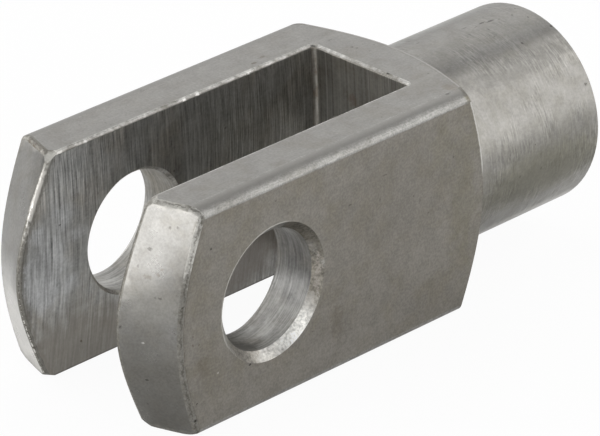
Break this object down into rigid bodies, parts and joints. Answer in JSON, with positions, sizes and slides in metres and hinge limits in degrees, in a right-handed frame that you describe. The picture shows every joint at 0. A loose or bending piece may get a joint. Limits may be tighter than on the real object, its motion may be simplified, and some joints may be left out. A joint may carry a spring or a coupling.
{
  "type": "rod clevis",
  "caption": "Steel fork head with a milled slot, bored ears for a cross pin and a turned neck tapped for a cylinder's piston rod.",
  "frame": {"origin": "on the pin bore's axis, midway between the two ears", "axes": "+X along the rod's thread and out of its mouth, +Y along the pin, +Z out of the slot, square to both; the part lies on the flat that faces -Z"},
  "size_m": [0.0737, 0.027, 0.027],
  "materials": {
    "steel": "bare drawn, turned and milled steel, satin, with light handling marks"
  },
  "bodies": {
    "root": {"clevis": "steel"}
  },
  "joints": []
}
